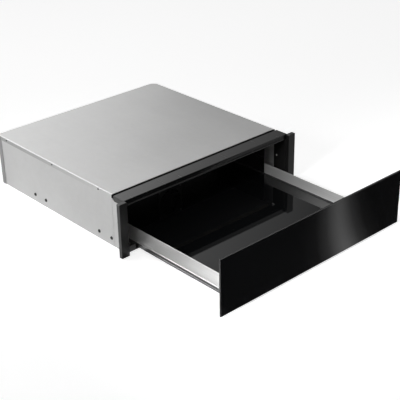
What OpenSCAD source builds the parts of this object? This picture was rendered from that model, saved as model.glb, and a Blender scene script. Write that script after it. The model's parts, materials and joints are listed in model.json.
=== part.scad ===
// Built-in warming drawer, drawn open. Millimetres, +Z up, the front towards -Y.
// The origin is the middle of the case's underside.

/* [Case] */
// Width of the front panel, which the whole appliance follows
panel_w = 594; // [520:1:700]
// How far the panel stands out beyond the case on each side
case_inset = 28.5; // [27:0.5:31]
// Depth of the case, from the top bar's front to the rear panel
case_d = 530; // [440:1:620]
// Height of the case
case_h = 141; // [120:1:290]
// Thickness of the case sheet
sheet_t = 1; // [0.7:0.1:1.4]
// Height of the cover's side flanges
cover_flange_h = 12; // [9:1:16]
// Corner cut at the back of the cover on the right
cover_clip = 13; // [8:1:20]
// Depth of the rear panel's wrapped side flanges
rear_wrap = 14; // [10:1:30]
// Thickness of the insulation mat
insulation_t = 17; // [8:1:20]

/* [Front frame] */
// How far the frame's top lies below the cover's
frame_drop = 1; // [0:0.5:3]
// Depth of the top bar's raised part
bar_d = 37; // [30:1:45]
// Height of the top bar's front
bar_h = 14; // [12:1:15]
// Width of the groove between the top bar and the cover
groove_w = 7.6; // [4:0.1:10]
// Wall of the frame parts
frame_t = 1.5; // [1.2:0.1:2]
// Width of the flange that covers the cabinet's edge
flange_w = 22.5; // [16:0.5:26]
// Depth of the flange
flange_d = 10; // [8:1:14]
// Height of the bottom crossbar
crossbar_h = 3.5; // [2.5:0.1:3.6]

/* [Front panel] */
// Height of the glass's lower edge above the base
panel_z = 5; // [2:1:8]
// Height of the glass's upper edge above the case
panel_rise = 4; // [0:0.5:6]
// Thickness of the front glass
front_glass_t = 4; // [3:0.5:6]
// Thickness of the carrier plate behind the glass
backing_t = 1.5; // [1:0.1:2]
// Depth of the liner behind the panel
liner_d = 14; // [8:1:20]

/* [Drawer] */
// Way that the drawer slides
travel = 330; // [200:5:350]
// Space between the case's side and the drawer's wall
side_gap = 34.5; // [32:0.5:40]
// Space between the drawer's back wall and the rear panel, for the fan
fan_space = 39.5; // [36:0.5:60]
// Height of the low side walls
wall_h = 38; // [24:1:50]
// Depth of the tall cheeks behind the low walls
cheek_d = 115; // [60:1:180]
// Space between the back wall and the ceiling
back_gap = 12.9; // [10:0.1:25]
// Thickness of the wall sheet
wall_t = 1.2; // [1:0.1:1.5]
// Thickness of the pan sheet
pan_t = 1; // [0.8:0.1:1.2]
// Thickness of the glass floor
floor_t = 4; // [3:0.5:5]
// Space for the heater between the pan and the glass floor
heater_gap = 3.6; // [2.5:0.1:6]

/* [Runners] */
// Width of a runner
runner_w = 30; // [28:0.5:40]
// Height of the drawer rail
runner_h = 12.4; // [12:0.1:16]
// Diameter of the balls
ball_d = 3; // [2.6:0.1:3.2]
// Balls in one row of a cage
cage_balls = 6; // [3:1:8]

/* [Fan] */
// Depth of the fan
fan_d = 25; // [20:1:27]
// Number of blades
blade_count = 7; // [5:1:11]

/* [Hidden] */
$fn = 48;

// Overrun of a cut past the faces it opens
cut = 1;

// Case planes
front_y = -case_d / 2;
back_y = case_d / 2;
case_w = panel_w - 2 * case_inset;
half_w = case_w / 2;
side_out = half_w - sheet_t;
side_in = side_out - sheet_t;
rear_in = back_y - sheet_t;
cover_front = front_y + bar_d + groove_w;
cover_edge_r = 2;
cover_relief = 1.6;
left_clip = 4;
side_return = 10;
frame_h = case_h - frame_drop;
bar_bottom = frame_h - bar_h;
bar_lap = 2.5;
bar_lip_ratio = 0.8;
bar_lip_h = 2;
bar_return = 10;
bar_nose_r = 5;
groove_h = 8;
groove_shelf = 5;
groove_gap = 0.2;
groove_top = case_h - sheet_t - groove_gap;
joggle_front = 38;
joggle_w = 10;
joggle_depth = 0.4;
rear_groove = 6;

// Frame posts
post_inset = 0.5;
flange_in = half_w - post_inset;
flange_out = flange_in + flange_w;
bar_end = flange_in + bar_lap;
post_top_r = 2.5;
seat_w = 8;
sleeve_t = 2.5;
sleeve_d = 25;
tongue_t = 1;
tongue_d = 15;
sleeve_in = side_in - sleeve_t;
frame_screw_y = front_y + sleeve_d + tongue_d / 3;
post_screw_lift = 2;
frame_screw_z = frame_h / 2 + post_screw_lift;

// Base and crossbar
base_set = 9;
base_front = front_y + base_set;
base_flange_h = 12;
base_bead_w = 10;
base_bead_h = 1.2;
base_bead_inset = 60;
crossbar_d = 6;
block_w = 24;
block_h = 16;

// Drawer planes with the drawer shut
panel_gap = 0.5;
panel_back = front_y - flange_d - panel_gap;
panel_h = case_h + panel_rise - panel_z;
drawer_back = rear_in - fan_space;
half_drawer = half_w - side_gap;
wall_in = half_drawer - wall_t;
cheek_gap = 1;
wall_back = drawer_back - cheek_d - cheek_gap;
low_wall_d = wall_back - panel_back;

// Levels
bracket_t = 1.5;
shelf_top = sheet_t + bracket_t;
runner_lift = 1.5;
runner_z = shelf_top + runner_lift;
pan_z = runner_z + runner_h;
pan_top = pan_z + pan_t;
floor_under = pan_top + heater_gap;
floor_top = floor_under + floor_t;
wall_top = pan_z + wall_h;
ceiling_t = 0.8;
insulation_gap = 0.3;
insulation_z = case_h - sheet_t - insulation_gap - insulation_t;
ceiling_z = insulation_z - ceiling_t;
back_top = ceiling_z - back_gap;

// Runner section, measured from the runner's middle line and its lower edge
rail_set = 12;
rail_front = front_y + rail_set;
rail_end_gap = 1.5;
rail_len = drawer_back - rail_end_gap - rail_front;
mid_share = 0.5;
outer_cage_share = 0.75;
inner_cage_share = 0.25;
runner_x = half_drawer - runner_w / 2;
rail_t = 1.2;
ball_r = ball_d / 2;
race_clear = 0.1;
race_r = ball_r + race_clear;
race_angle = 50;
race_lip = 1;
outer_ball_x = runner_w / 2 - rail_t - race_r;
mid_leg_t = 2.6;
mid_out = outer_ball_x - race_lip;
mid_inner = mid_out - mid_leg_t;
inner_ball_x = mid_inner - race_lip;
fixed_out = inner_ball_x - race_lip;
fixed_leg_t = 2;
race_foot = 0.4;
ball_z = runner_z + race_r + rail_t + race_foot;
web_gap = 0.4;
cage_t = 0.5;
drawer_web_z = pan_z - rail_t;
outer_cage_z = drawer_web_z - web_gap - cage_t;
web_nip = 0.1;
mid_web_z = outer_cage_z - web_gap - rail_t + web_nip;
inner_cage_z = mid_web_z - web_gap - cage_t;
fixed_top = inner_cage_z - web_gap;
mid_foot = 0.4;
cage_foot = 1.6;
cage_len = 150;
cage_end = 20;
cage_ball_pitch = (cage_len - cage_end) / (cage_balls - 1);
cage_y = rail_front + rail_len / 2 - cage_len / 2;

// Runner brackets and their screws
web_top = 28;
rail_screw_z = 20;
rail_screw_front = 58;
rail_screw_pitch = 47.5;
rail_pair_share = 0.567;
rail_screw_back = rail_screw_front + rail_len * rail_pair_share;
rail_screw_places = [
    rail_screw_front,
    rail_screw_front + rail_screw_pitch,
    rail_screw_back,
    rail_screw_back + rail_screw_pitch
];
screw_r = 1.9;
screw_hole_r = 2.1;
screw_head_r = 3.8;
screw_head_t = 1.8;
screw_grip = 2.6;
small_head_r = 2.4;
small_head_t = 1.2;
cover_screw_shares = [0.183, 0.536, 0.921];
cover_screw_drop = 5.5;
rear_screw_shares = [0.14, 0.5, 0.8];
rear_screw_x = side_in - side_return / 2;

// Drawer details
hem_w = 2.5;
hem_h = 3;
lip_w = 1.8;
lip_h = 2.4;
inner_bead = 0.9;
cheek_hem = 6;
back_hem = 8;
pan_set = 2;
pan_rim_h = 7;
seal_w = 6.3;
seal_ledge = 4;
seal_proud = 1.3;
seal_set = 16;
seal_fit = 0.3;
seal_corner_r = 8;
floor_len = drawer_back - wall_t - panel_back - seal_set;
floor_mid_y = drawer_back - wall_t - floor_len / 2;
mat_inset = 22;
mat_t = 1;
track_t = 0.7;
track_w = 5;
track_pitch = 24;
thermostat_r = 8;
thermostat_h = 8;
thermostat_x = 60;
thermostat_y = 200;
tab_w = 5;
tab_t = 0.8;
tab_l = 4;
tab_out = 2.5;
tab_gap = 7;
ear_l = 30;
ear_w = 9;
ear_t = 0.8;
bracket_w = 18;
front_bracket_d = 45;
front_bracket_z = 3;
front_bracket_h = 30;
bracket_low = pan_z + lip_h + front_bracket_z;
bracket_high = min(bracket_low + front_bracket_h, wall_top - hem_h);
bracket_screw_set = 7;
bracket_screw_x = half_drawer + bracket_w - bracket_screw_set;
bracket_screw_z = [bracket_low + bracket_screw_set, bracket_high - bracket_screw_set];

// Front panel details
glass_bevel = 0.6;
backing_inset = 1.5;
liner_gap = 3.5;
liner_t = 1;
liner_rise = 2;
liner_top_gap = 4;
liner_corner_r = 6;
gasket_h = 7;
gasket_d = 9.5;
gasket_t = 1.5;
gasket_inset = 12;

// Fan details
fan_drop = 2;
fan_rise = 0.7;
fan_low = floor_top + seal_proud + fan_rise;
fan_w = back_top - fan_drop - fan_low;
fan_z = fan_low + fan_w / 2;
fan_wall = 2;
fan_bore_r = fan_w / 2 - fan_wall;
fan_hole_share = 0.447;
fan_hole_at = fan_w * fan_hole_share;
fan_corner_r = 4;
fan_y = drawer_back;
hub_r = 16.5;
hub_clear = 3;
hub_base_t = 3;
hub_base_gap = 1;
strut_w = 3.5;
blade_tip_gap = 1.5;
blade_t = 1.4;
blade_r = 30;
blade_half = 15;
blade_angle = 40;
shaft_r = 1.5;
shaft_clear = 0.05;
grille_t = 1.5;
grille_rings = 5;
grille_bar = 1.7;
grille_spokes = 6;

// Latch and switch
latch_x = 150;
striker_t = 1.5;
striker_w = 30;
striker_h = 22;
latch_z = fan_z;
press_gap = 0.5;
latch_tip = drawer_back + striker_t + press_gap;
latch_front_gap = 4;
latch_front = latch_tip + latch_front_gap;
latch_w = 24;
latch_h = 18;
latch_flange_w = 40;
latch_flange_t = 2;
plunger_r = 4;
plunger_len = 22;
plunger_way = 4;
plunger_clear = 0.08;
magnet_r = 3;
switch_x = -150;
switch_tip = drawer_back + press_gap;
switch_front_gap = 2.5;
switch_front = switch_tip + switch_front_gap;
switch_w = 12;
switch_h = 28;
switch_flange_h = 40;
pin_r = 1.4;
pin_len = 9;
pin_way = 1.5;

// Electric boxes in the side channels
box_t = 22;
box_z = 32;
terminal_l = 80;
terminal_h = 50;
box_rear_gap = 16;
box_top_gap = 21.9;
lid_t = 2;
lid_inset = 1.5;
lid_slot_w = 2;
lid_slot_share = 0.45;
lid_slot_pitch = 6;
lid_slot_depth = 0.8;
lid_slots = 5;
lid_screw_set = 8;
socket_w = 9;
socket_h = 7;
socket_out = 4;
socket_pitch = 12;
sockets = 3;
control_l = 112;
control_h = ceiling_z - box_top_gap - box_z;
box_corner_r = 3;
cable_r = 4.25;
inlet_flange_r = 9.5;
inlet_x = side_in - side_return - inlet_flange_r - seal_fit;
inlet_z = box_z + terminal_h / 2;
inlet_r = 7;
inlet_fit = 0.1;
inlet_flange_t = 2;
inlet_out = 3;
inlet_in = 3;

// Vent slots
vent_w = 3;
vent_h = 44;
vent_pitch = 9;
vent_count = 9;
vent_z = 30;
vent_x = 40;
base_vent_w = 4;
base_vent_l = 40;
base_vent_pitch = 12;
base_vent_count = 8;
base_vent_share = 0.3;

// Box between two corners
module block(low, high) {
    translate(low) cube(high - low);
}

// The same piece on the right, or mirrored to the left
module on_side(side) {
    if (side > 0) children();
    else mirror([1, 0, 0]) children();
}

// Drawer pieces are drawn shut and stand open at rest
module drawn_open(share = 1) {
    translate([0, -travel * share, 0]) children();
}

// Rod along X, Y or Z from its start
module rod_x(place, r, len) {
    translate(place) rotate([0, 90, 0]) cylinder(h = len, r = r);
}

module rod_y(place, r, len) {
    translate(place) rotate([-90, 0, 0]) cylinder(h = len, r = r);
}

// Plate in the XZ plane with round corners, its front at y and its middle at x, z
module round_plate(x, y, z, w, h, t, r) {
    translate([x, y + t, z]) rotate([90, 0, 0]) linear_extrude(t) rounded(w, h, r);
}

module rounded(w, h, r) {
    square([w - 2 * r, h], center = true);
    square([w, h - 2 * r], center = true);
    for (sx = [-1, 1], sy = [-1, 1]) translate([sx * (w / 2 - r), sy * (h / 2 - r)]) circle(r = r);
}

// Slot with round ends along the second axis
module slot(w, l) {
    square([w, l - w], center = true);
    for (s = [-1, 1]) translate([0, s * (l - w) / 2]) circle(r = w / 2, $fn = 24);
}

// Screw along X: its head's seat is at x, the head towards +X
module screw_x(x, y, z, head_r, head_t, grip) {
    rod_x([x - grip, y, z], screw_r, grip);
    rod_x([x, y, z], head_r, head_t);
}

// Holes for the screws that hold the cover on the right
module cover_screw_holes(x, len) {
    for (share = cover_screw_shares)
        rod_x([x, front_y + case_d * share, case_h - cover_screw_drop], screw_hole_r, len);
}

// Holes for the screws of the rear panel on the right
module rear_screw_holes(y) {
    for (share = rear_screw_shares)
        rod_y([rear_screw_x, y - cut, case_h * share], screw_hole_r, sheet_t + 2 * cut);
}

// Case: cover, side panels, rear panel and base

module top_cover() color("silver") difference() {
    translate([0, back_y, 0]) rotate([90, 0, 0]) linear_extrude(back_y - cover_front) cover_section();
    for (side = [-1, 1]) on_side(side) {
        corner_cut(side);
        cover_screw_holes(side_in, half_w - side_in + cut);
        block([side_in, back_y - rear_wrap - cover_relief, 0],
            [half_w + cut, back_y + cut, case_h - cover_edge_r]);
    }
}

// Cuts the back corner at 45 degrees near the top, more on the right than on the left
module corner_cut(side) {
    clip = (side > 0 ? cover_clip : left_clip) + cut;
    translate([half_w, back_y, case_h - cover_flange_h]) linear_extrude(cover_flange_h + cut)
        polygon([[-clip, cut], [cut, -clip], [cut, cut]]);
}

module cover_section() {
    difference() {
        cover_outline(half_w, case_h, cover_edge_r);
        translate([-side_out, 0]) square([2 * side_out, case_h - sheet_t]);
        translate([-case_w, -cut]) square([2 * case_w, case_h - cover_flange_h + cut]);
    }
}

module cover_outline(half, top, r) {
    translate([-half, 0]) square([2 * half, top - r]);
    translate([-half + r, 0]) square([2 * (half - r), top]);
    for (s = [-1, 1]) translate([s * (half - r), top - r]) circle(r = r);
}

module side_panel(side) on_side(side) difference() {
    union() {
        block([side_in, front_y + frame_t, 0], [side_out, rear_in, bar_bottom]);
        block([side_in, cover_front, 0], [side_out, rear_in, case_h - sheet_t]);
        block([side_in - side_return, cover_front + sheet_t, case_h - 2 * sheet_t],
            [side_in, rear_in, case_h - sheet_t]);
        block([side_in - side_return, rear_in - sheet_t, sheet_t], [side_in, rear_in, ceiling_z]);
    }
    corner_cut(side);
    rear_screw_holes(rear_in - sheet_t);
    cover_screw_holes(side_in - sheet_t - cut, 2 * (sheet_t + cut));
    block([side_out - joggle_depth, front_y + joggle_front, -cut],
        [side_out + cut, front_y + joggle_front + joggle_w, bar_bottom - cut]);
    block([side_out - joggle_depth, back_y - rear_wrap - rear_groove, -cut],
        [side_out + cut, back_y - rear_wrap, case_h]);
    for (place = rail_screw_places)
        rod_x([side_in - cut, front_y + place, rail_screw_z], screw_hole_r, sheet_t + 2 * cut);
    rod_x([side_in - cut, frame_screw_y, frame_screw_z], screw_hole_r, sheet_t + 2 * cut);
}

module left_side_panel() color("silver") side_panel(-1);

module right_side_panel() color("silver") side_panel(1);

module rear_panel() color("silver") difference() {
    union() {
        block([-half_w, rear_in, 0], [half_w, back_y, case_h - cover_edge_r]);
        block([-side_out, rear_in, 0], [side_out, back_y, case_h - sheet_t]);
        for (side = [-1, 1]) on_side(side)
            block([side_out, back_y - rear_wrap, 0], [half_w, back_y, case_h - cover_edge_r]);
    }
    for (side = [-1, 1]) on_side(side) {
        for (i = [0 : vent_count - 1])
            translate([vent_x + i * vent_pitch, back_y + cut, vent_z + vent_h / 2]) rotate([90, 0, 0])
                linear_extrude(sheet_t + 2 * cut) slot(vent_w, vent_h);
        corner_cut(side);
        rear_screw_holes(rear_in);
    }
    rod_y([inlet_x, rear_in - cut, inlet_z], inlet_r + inlet_fit, sheet_t + 2 * cut);
}

module base_plate() color("silver") {
    difference() {
        block([-side_in, base_front, 0], [side_in, rear_in, sheet_t]);
        for (i = [0 : base_vent_count - 1], side = [-1, 1])
            translate([side * (base_vent_pitch / 2 + i * base_vent_pitch), case_d * base_vent_share, -cut])
                linear_extrude(sheet_t + 2 * cut) slot(base_vent_w, base_vent_l);
    }
    block([-side_in + side_return, rear_in - sheet_t, sheet_t],
        [side_in - side_return, rear_in, base_flange_h]);
    bead_x = half_drawer - runner_w - base_bead_inset;
    for (side = [-1, 1])
        block([side * bead_x - base_bead_w / 2, base_front + base_bead_inset, sheet_t],
            [side * bead_x + base_bead_w / 2, rear_in - base_bead_inset, sheet_t + base_bead_h]);
}

// Front frame

module frame_top_bar() color("dimgray") {
    shelf_half = side_in - side_return - groove_gap;
    translate([-side_out, 0, 0]) extrude_x(2 * side_out) bar_section();
    translate([-bar_end, 0, 0]) extrude_x(2 * bar_end) groove_section();
    translate([-shelf_half, 0, 0]) extrude_x(2 * shelf_half)
        translate([cover_front - frame_t, groove_top - sheet_t]) square([frame_t + groove_shelf, sheet_t]);
    for (side = [-1, 1]) on_side(side)
        translate([side_out, 0, 0]) extrude_x(bar_end - side_out) bar_end_outline();
}

// Groove behind the bar: a floor and a wall that rises to the cover's front edge
module groove_section() {
    translate([front_y + bar_d - frame_t, frame_h - groove_h]) square([groove_w + frame_t, frame_t]);
    translate([cover_front - frame_t, frame_h - groove_h])
        square([frame_t, groove_top - frame_h + groove_h]);
}

// Profile drawn in Y and Z, extruded along +X
module extrude_x(len) {
    rotate([90, 0, 90]) linear_extrude(len) children();
}

module bar_section() {
    difference() {
        bar_end_outline();
        translate([front_y + frame_t, bar_bottom + frame_t])
            square([bar_d - 2 * frame_t, bar_h - 2 * frame_t]);
        translate([front_y + bar_return, bar_bottom - cut])
            square([bar_d - bar_return + cut, bar_h / 3 + cut]);
    }
}

module bar_end_outline() {
    difference() {
        union() {
            translate([front_y, bar_bottom]) square([bar_d, bar_h]);
            translate([front_y, bar_bottom + bar_lip_h / 2])
                scale([bar_lip_ratio, 1]) circle(r = bar_lip_h / 2);
        }
        difference() {
            translate([front_y + bar_d - bar_nose_r, bar_bottom - cut])
                square([bar_nose_r + cut, bar_nose_r + cut]);
            translate([front_y + bar_d - bar_nose_r, bar_bottom + bar_nose_r]) circle(r = bar_nose_r);
        }
    }
}

module post(side) on_side(side) difference() {
    union() {
        translate([0, front_y, 0]) rotate([90, 0, 0]) linear_extrude(flange_d) post_face();
        block([sleeve_in, front_y, 0], [flange_in + frame_t, front_y + frame_t, bar_bottom]);
        block([sleeve_in, front_y, sheet_t], [side_in, front_y + sleeve_d, bar_bottom]);
        block([side_in - tongue_t, front_y + sleeve_d, sheet_t],
            [side_in, front_y + sleeve_d + tongue_d, bar_bottom]);
    }
    block([flange_in + frame_t, front_y - flange_d + frame_t, frame_t],
        [flange_out - frame_t, front_y - frame_t, frame_h - post_top_r]);
    block([flange_in + frame_t, front_y - flange_d + frame_t, frame_t],
        [flange_out - seat_w, front_y + cut, frame_h - post_top_r]);
    rod_x([side_in - tongue_t - cut, frame_screw_y, frame_screw_z], screw_hole_r, tongue_t + 2 * cut);
    // Recess in which the end of the bar lies, below the face that seats on the cabinet
    block([flange_in - cut, front_y - groove_gap, bar_bottom],
        [bar_end + groove_gap, front_y + cut, frame_h + cut]);
}

// Face of the flange in X and Z with round upper corners
module post_face() {
    translate([flange_in, 0]) square([flange_w, frame_h - post_top_r]);
    translate([flange_in + post_top_r, 0]) square([flange_w - 2 * post_top_r, frame_h]);
    for (x = [flange_in + post_top_r, flange_out - post_top_r])
        translate([x, frame_h - post_top_r]) circle(r = post_top_r);
}

module left_post() color("dimgray") post(-1);

module right_post() color("dimgray") post(1);

module bottom_crossbar() color("black") {
    block([-sleeve_in, base_front - crossbar_d, 0], [sleeve_in, base_front, crossbar_h]);
    for (side = [-1, 1]) on_side(side)
        block([sleeve_in - block_w, base_front - crossbar_d, 0], [sleeve_in, base_front, block_h]);
}

// Warm space: ceiling and insulation

module cavity_ceiling() color("gray") difference() {
    block([-side_in, cover_front + frame_t, ceiling_z], [side_in, rear_in - sheet_t, case_h - 2 * sheet_t]);
    block([-side_in + ceiling_t, cover_front, ceiling_z + ceiling_t],
        [side_in - ceiling_t, rear_in, case_h]);
    for (side = [-1, 1]) on_side(side) cover_screw_holes(side_in - ceiling_t - cut, ceiling_t + 2 * cut);
}

module insulation() color("beige")
    block([-side_in + side_return + sheet_t, cover_front + groove_shelf + sheet_t, insulation_z],
        [side_in - side_return - sheet_t, rear_in - 2 * sheet_t, insulation_z + insulation_t]);

// Runners: bracket, three nested members and two ball cages on each side

module rail_bracket(side) on_side(side) difference() {
    union() {
        block([half_drawer - runner_w, rail_front, sheet_t], [side_in, rail_front + rail_len, shelf_top]);
        block([side_in - bracket_t, front_y + sleeve_d + tongue_d, sheet_t],
            [side_in, rail_front + rail_len, web_top]);
    }
    block([side_in - bracket_t - sleeve_t, front_y, 0],
        [side_in + cut, front_y + sleeve_d + tongue_d, web_top]);
    for (place = rail_screw_places)
        rod_x([side_in - bracket_t - cut, front_y + place, rail_screw_z], screw_hole_r, bracket_t + 2 * cut);
}

module left_rail_bracket() color("gray") rail_bracket(-1);

module right_rail_bracket() color("gray") rail_bracket(1);

// A section drawn in X and Z about the runner's middle, as long as the rails
module rail(side) on_side(side)
    translate([runner_x, rail_front + rail_len, 0]) rotate([90, 0, 0]) linear_extrude(rail_len) children();

// Grooves that the balls run in
module ball_grooves(x) {
    for (s = [-1, 1]) translate([s * x, ball_z]) circle(r = race_r);
}

module case_rail(side) rail(side) difference() {
    translate([-fixed_out, shelf_top]) square([2 * fixed_out, fixed_top - shelf_top]);
    translate([-fixed_out + fixed_leg_t, shelf_top + rail_t])
        square([2 * (fixed_out - fixed_leg_t), fixed_top - shelf_top]);
    ball_grooves(inner_ball_x);
}

module left_case_rail() color("lightgray") case_rail(-1);

module right_case_rail() color("lightgray") case_rail(1);

module mid_rail(side) drawn_open(mid_share) rail(side) difference() {
    translate([-mid_out, runner_z + mid_foot])
        square([2 * mid_out, mid_web_z + rail_t - runner_z - mid_foot]);
    translate([-mid_inner, runner_z]) square([2 * mid_inner, mid_web_z - runner_z]);
    ball_grooves(outer_ball_x);
    ball_grooves(inner_ball_x);
}

module left_mid_rail() color("lightgray") mid_rail(-1);

module right_mid_rail() color("lightgray") mid_rail(1);

// The outer member is rolled sheet: a web, two legs and a round race in each leg
module drawer_rail(side) drawn_open() rail(side) {
    race_mid = race_r + rail_t / 2;
    leg_x = outer_ball_x + race_mid * cos(race_angle);
    race_end = race_mid * sin(race_angle);
    race_reach = runner_w * tan(race_angle);
    translate([-leg_x - rail_t / 2, drawer_web_z]) square([2 * leg_x + rail_t, rail_t]);
    for (s = [-1, 1]) mirror([s < 0 ? 1 : 0, 0]) {
        translate([leg_x - rail_t / 2, ball_z + race_end]) square([rail_t, pan_z - ball_z - race_end]);
        translate([leg_x - rail_t / 2, runner_z]) square([rail_t, ball_z - race_end - runner_z]);
        translate([outer_ball_x, ball_z]) intersection() {
            difference() {
                circle(r = race_r + rail_t);
                circle(r = race_r);
            }
            polygon([[0, 0], [runner_w, race_reach], [runner_w, -race_reach]]);
        }
    }
}

module left_drawer_rail() color("gray") drawer_rail(-1);

module right_drawer_rail() color("gray") drawer_rail(1);

// Cage: a thin folded strip that keeps two rows of balls
module cage(side, web_z, ball_x, share) drawn_open(share) on_side(side) translate([runner_x, cage_y, 0]) {
    block([-ball_x - cage_t / 2, 0, web_z], [ball_x + cage_t / 2, cage_len, web_z + cage_t]);
    for (s = [-1, 1]) {
        block([s * ball_x - cage_t / 2, 0, runner_z + cage_foot],
            [s * ball_x + cage_t / 2, cage_len, web_z + cage_t]);
        for (i = [0 : cage_balls - 1])
            translate([s * ball_x, cage_end / 2 + i * cage_ball_pitch, ball_z]) sphere(r = ball_r);
    }
}

module left_outer_cage() color("brown") cage(-1, outer_cage_z, outer_ball_x, outer_cage_share);

module right_outer_cage() color("brown") cage(1, outer_cage_z, outer_ball_x, outer_cage_share);

module left_inner_cage() color("brown") cage(-1, inner_cage_z, inner_ball_x, inner_cage_share);

module right_inner_cage() color("brown") cage(1, inner_cage_z, inner_ball_x, inner_cage_share);

// Screws of the case

module cover_screws() color("gray") for (side = [-1, 1], share = cover_screw_shares) on_side(side)
    screw_x(half_w, front_y + case_d * share, case_h - cover_screw_drop, small_head_r, small_head_t,
        2 * sheet_t + screw_grip);

module rail_screws() color("black") for (side = [-1, 1], place = rail_screw_places) on_side(side)
    screw_x(side_out, front_y + place, rail_screw_z, screw_head_r, screw_head_t,
        sheet_t + bracket_t + screw_grip);

module frame_screws() color("silver") for (side = [-1, 1]) on_side(side) {
    rod_x([side_in - tongue_t, frame_screw_y, frame_screw_z], screw_r, tongue_t + sheet_t + screw_grip);
    rod_x([side_in - tongue_t - small_head_t, frame_screw_y, frame_screw_z], small_head_r, small_head_t);
}

module rear_screws() color("silver") for (side = [-1, 1], share = rear_screw_shares) on_side(side) {
    rod_y([rear_screw_x, rear_in - sheet_t - screw_grip, case_h * share], screw_r, 2 * sheet_t + screw_grip);
    rod_y([rear_screw_x, back_y, case_h * share], small_head_r, small_head_t);
}

// Electric boxes with a slotted lid, its screws and a row of sockets

module side_box(side, l, h) on_side(side) translate([0, rear_in - sheet_t - box_rear_gap - l, box_z]) {
    lid_x = side_in - box_t;
    block([lid_x + lid_t, 0, 0], [side_in, l, h]);
    difference() {
        translate([lid_x, l / 2, h / 2])
            extrude_x(lid_t) rounded(l - 2 * lid_inset, h - 2 * lid_inset, box_corner_r);
        for (i = [0 : lid_slots - 1])
            translate([lid_x - cut, l / 2 + (i - (lid_slots - 1) / 2) * lid_slot_pitch, h / 2])
                extrude_x(lid_slot_depth + cut) slot(lid_slot_w, h * lid_slot_share);
    }
    for (y = [lid_screw_set, l - lid_screw_set])
        rod_x([lid_x - small_head_t, y, h / 2], small_head_r, small_head_t);
    for (i = [0 : sockets - 1])
        translate([side_in - box_t / 2, 0, socket_pitch / 2 + i * socket_pitch])
            block([-socket_w / 2, -socket_out, 0], [socket_w / 2, 0, socket_h]);
}

module terminal_box() color("white") side_box(1, terminal_l, terminal_h);

module control_box() color("white") side_box(-1, control_l, control_h);

module mains_inlet() color("black") difference() {
    union() {
        rod_y([inlet_x, rear_in - inlet_in, inlet_z], inlet_r, inlet_in + sheet_t + inlet_out);
        rod_y([inlet_x, back_y, inlet_z], inlet_flange_r, inlet_flange_t);
        rod_y([inlet_x, rear_in - inlet_flange_t, inlet_z], inlet_flange_r, inlet_flange_t);
    }
    rod_y([inlet_x, rear_in - inlet_in - cut, inlet_z], cable_r, inlet_in + sheet_t + inlet_out + 2 * cut);
}

// Push latch and drawer switch at the back of the case

module push_latch() color("white") difference() {
    union() {
        round_plate(latch_x, rear_in - latch_flange_t, latch_z, latch_flange_w, latch_h,
            latch_flange_t, box_corner_r);
        round_plate(latch_x, latch_front, latch_z, latch_w, latch_h, rear_in - latch_front, box_corner_r);
    }
    rod_y([latch_x, latch_front - cut, latch_z], plunger_r + plunger_clear,
        plunger_len + plunger_way - latch_front_gap + 2 * cut);
}

module latch_plunger() color("gray") {
    rod_y([latch_x, latch_tip + striker_t, latch_z], plunger_r, plunger_len - striker_t);
    rod_y([latch_x, latch_tip, latch_z], magnet_r, striker_t);
}

module door_switch() color("black") difference() {
    union() {
        round_plate(switch_x, rear_in - latch_flange_t, latch_z, switch_w, switch_flange_h,
            latch_flange_t, box_corner_r);
        round_plate(switch_x, switch_front, latch_z, switch_w, switch_h,
            rear_in - switch_front, box_corner_r / 2);
    }
    rod_y([switch_x, switch_front - cut, latch_z], pin_r + plunger_clear,
        pin_len + pin_way - switch_front_gap + 2 * cut);
}

module switch_plunger() color("red") rod_y([switch_x, switch_tip, latch_z], pin_r, pin_len);

// Drawer: pan, walls, cheeks and back wall

module drawer_pan() color("gray") drawn_open() {
    block([-wall_in, panel_back + pan_set, pan_z], [wall_in, drawer_back, pan_top]);
    block([-wall_in, panel_back + pan_set, pan_top],
        [wall_in, panel_back + pan_set + pan_t, pan_z + pan_rim_h]);
}

// Section of a low wall in X and Z: sheet, rolled hem, outer lip and inner bead
module wall_section() {
    translate([wall_in, pan_z]) square([wall_t, wall_h - hem_w / 2]);
    translate([half_drawer - hem_w, wall_top - hem_h]) square([hem_w, hem_h - hem_w / 2]);
    translate([half_drawer - hem_w / 2, wall_top - hem_w / 2]) circle(r = hem_w / 2);
    translate([wall_in, pan_z]) square([wall_t + lip_w - lip_h / 2, lip_h]);
    translate([half_drawer + lip_w - lip_h / 2, pan_z + lip_h / 2]) circle(r = lip_h / 2);
    translate([wall_in, floor_top + seal_proud + inner_bead]) circle(r = inner_bead);
}

module wall(side) drawn_open() on_side(side)
    translate([0, wall_back, 0]) rotate([90, 0, 0]) linear_extrude(low_wall_d) wall_section();

module left_wall() color("lightsteelblue") wall(-1);

module right_wall() color("lightsteelblue") wall(1);

module cheek(side) drawn_open() on_side(side) {
    block([wall_in, wall_back + cheek_gap, pan_z], [half_drawer, drawer_back, back_top]);
    block([wall_in, wall_back + cheek_gap, back_top - wall_t],
        [half_drawer + cheek_hem, drawer_back, back_top]);
}

module left_cheek() color("black") cheek(-1);

module right_cheek() color("black") cheek(1);

module fan_holes(y, t) {
    for (sx = [-1, 1], sz = [-1, 1])
        rod_y([sx * fan_hole_at, y - cut, fan_z + sz * fan_hole_at], screw_hole_r, t + 2 * cut);
}

module back_wall() color("black") drawn_open() difference() {
    union() {
        block([-wall_in, drawer_back - wall_t, pan_top], [wall_in, drawer_back, back_top]);
        block([-wall_in, drawer_back - wall_t, back_top - wall_t],
            [wall_in, drawer_back + back_hem, back_top]);
    }
    rod_y([0, drawer_back - wall_t - cut, fan_z], fan_bore_r, wall_t + 2 * cut);
    fan_holes(drawer_back - wall_t, wall_t);
}

// Drawer: heater, thermostat, glass floor and its seal

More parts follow.
